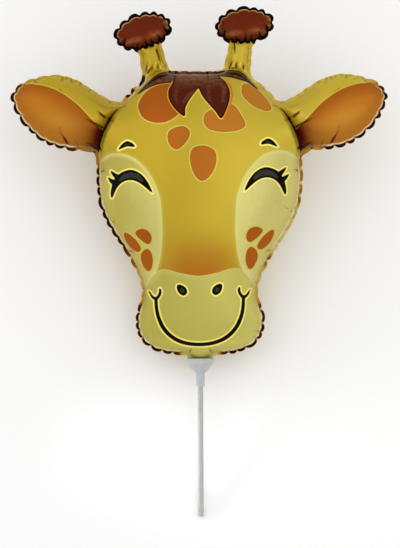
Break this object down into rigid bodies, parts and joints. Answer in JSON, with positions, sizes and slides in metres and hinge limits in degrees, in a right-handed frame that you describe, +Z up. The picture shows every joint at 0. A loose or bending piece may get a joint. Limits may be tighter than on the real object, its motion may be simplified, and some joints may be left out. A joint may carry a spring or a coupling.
{
  "type": "giraffe head foil balloon",
  "caption": "Inflated foil balloon shaped as a giraffe's head, with ears and horns, on a white plastic cup and thin stick, lying on its back.",
  "frame": {"origin": "centre of the underside of the object's box, on the floor", "axes": "+Y from the stick towards the top of the head, +Z up from the floor through the face, +X to the right of a viewer who looks at the face"},
  "size_m": [0.3414, 0.4526, 0.1219],
  "materials": {
    "printed_foil": "printed metallised film, satin gloss",
    "cup_plastic": "moulded, half gloss",
    "stick_plastic": "extruded, satin"
  },
  "bodies": {
    "root": {"foil_balloon": "printed_foil", "holder_cup": "cup_plastic", "stick": "stick_plastic"}
  },
  "joints": []
}
